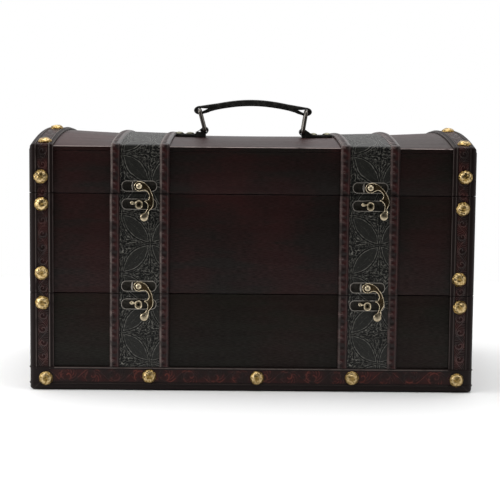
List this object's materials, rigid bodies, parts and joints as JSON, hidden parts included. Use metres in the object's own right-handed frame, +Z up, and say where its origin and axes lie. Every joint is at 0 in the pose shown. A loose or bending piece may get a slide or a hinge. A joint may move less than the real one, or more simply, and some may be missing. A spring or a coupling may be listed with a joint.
{
  "type": "wine gift box",
  "caption": "Leather-bound wooden chest in stacked levels, with a domed lid, swing-hook latches, back hinges and a ring-hung carrying handle.",
  "frame": {"origin": "middle of the box on the floor, halfway between the front latches and the back hinges", "axes": "+X to the right seen from the front, +Y towards the hinges at the back, +Z up"},
  "size_m": [0.4056, 0.271, 0.2641],
  "materials": {
    "stained_wood": "dark cherry stain, satin lacquer",
    "flocked_wood": "wood covered with dark flock",
    "black_leather": "black embossed leather",
    "red_leather": "reddish brown embossed leather",
    "antique_brass": "antique brass with bright worn edges",
    "dark_bronze": "dark antique bronze"
  },
  "bodies": {
    "tray": {"tray_floor": "stained_wood", "tray_front_board": "stained_wood", "tray_back_board": "stained_wood", "tray_left_board": "stained_wood", "tray_right_board": "stained_wood", "tray_bottle_cradle": "flocked_wood", "tray_left_strap": "black_leather", "tray_right_strap": "black_leather", "tray_back_left_strap": "black_leather", "tray_back_right_strap": "black_leather", "tray_edge_binding": "red_leather", "lower_left_catch": "dark_bronze", "lower_left_hinge_tray_leaf": "dark_bronze", "lower_right_catch": "dark_bronze", "lower_right_hinge_tray_leaf": "dark_bronze"},
    "tier": {"tier_floor": "stained_wood", "tier_front_board": "stained_wood", "tier_back_board": "stained_wood", "tier_left_board": "stained_wood", "tier_right_board": "stained_wood", "tier_bottle_cradle": "flocked_wood", "tier_left_strap": "black_leather", "tier_right_strap": "black_leather", "tier_back_left_strap": "black_leather", "tier_back_right_strap": "black_leather", "tier_front_left_band": "red_leather", "tier_front_right_band": "red_leather", "tier_back_left_band": "red_leather", "tier_back_right_band": "red_leather", "upper_left_catch": "dark_bronze", "upper_left_hinge_tier_leaf": "dark_bronze", "upper_right_catch": "dark_bronze", "upper_right_hinge_tier_leaf": "dark_bronze", "lower_left_hook_plate": "dark_bronze", "lower_left_hinge_tier_leaf": "dark_bronze", "lower_right_hook_plate": "dark_bronze", "lower_right_hinge_tier_leaf": "dark_bronze"},
    "lid": {"lid_top_panel": "stained_wood", "lid_front_board": "stained_wood", "lid_back_board": "stained_wood", "lid_left_gable": "stained_wood", "lid_right_gable": "stained_wood", "lid_left_strap": "black_leather", "lid_right_strap": "black_leather", "handle_left_tab": "black_leather", "handle_right_tab": "black_leather", "lid_left_end_band": "red_leather", "lid_right_end_band": "red_leather", "upper_left_hook_plate": "dark_bronze", "upper_left_hinge_lid_leaf": "dark_bronze", "upper_right_hook_plate": "dark_bronze", "upper_right_hinge_lid_leaf": "dark_bronze"},
    "upper_left_hook": {"upper_left_hook": "antique_brass"},
    "upper_right_hook": {"upper_right_hook": "antique_brass"},
    "lower_left_hook": {"lower_left_hook": "antique_brass"},
    "lower_right_hook": {"lower_right_hook": "antique_brass"},
    "left_ring": {"handle_left_ring": "dark_bronze"},
    "right_ring": {"handle_right_ring": "dark_bronze"},
    "grip": {"handle_grip": "black_leather"}
  },
  "joints": [
    {"name": "tier_hinge", "type": "hinge", "parent": "tray", "child": "tier", "pos_m": [0, 0.1333, 0.0894], "axis": [-1, 0, 0], "range_deg": [0, 90]},
    {"name": "lid_hinge", "type": "hinge", "parent": "tier", "child": "lid", "pos_m": [0, 0.1333, 0.1805], "axis": [-1, 0, 0], "range_deg": [0, 100]},
    {"name": "upper_left_hook_pivot", "type": "hinge", "parent": "lid", "child": "upper_left_hook", "pos_m": [-0.1026, -0.1312, 0.1875], "axis": [0, -1, 0], "range_deg": [-15, 100]},
    {"name": "upper_right_hook_pivot", "type": "hinge", "parent": "lid", "child": "upper_right_hook", "pos_m": [0.1062, -0.1312, 0.1875], "axis": [0, -1, 0], "range_deg": [-32, 83]},
    {"name": "lower_left_hook_pivot", "type": "hinge", "parent": "tier", "child": "lower_left_hook", "pos_m": [-0.1029, -0.1312, 0.0964], "axis": [0, -1, 0], "range_deg": [-16, 99]},
    {"name": "lower_right_hook_pivot", "type": "hinge", "parent": "tier", "child": "lower_right_hook", "pos_m": [0.1049, -0.1312, 0.0964], "axis": [0, -1, 0], "range_deg": [-25, 90]},
    {"name": "left_ring_pivot", "type": "hinge", "parent": "lid", "child": "left_ring", "pos_m": [-0.0464, 0, 0.23369], "axis": [0, 1, 0], "range_deg": [-18, 18]},
    {"name": "right_ring_pivot", "type": "hinge", "parent": "lid", "child": "right_ring", "pos_m": [0.0492, 0, 0.23254], "axis": [0, 1, 0], "range_deg": [-20, 20]},
    {"name": "grip_pivot", "type": "hinge", "parent": "left_ring", "child": "grip", "pos_m": [-0.05168, 0, 0.25339], "axis": [0, 1, 0], "range_deg": [-20, 20]}
  ],
  "couplings": [
    {"joint": "right_ring_pivot", "follows": "left_ring_pivot", "ratio": 1},
    {"joint": "grip_pivot", "follows": "left_ring_pivot", "ratio": -0.9186}
  ]
}
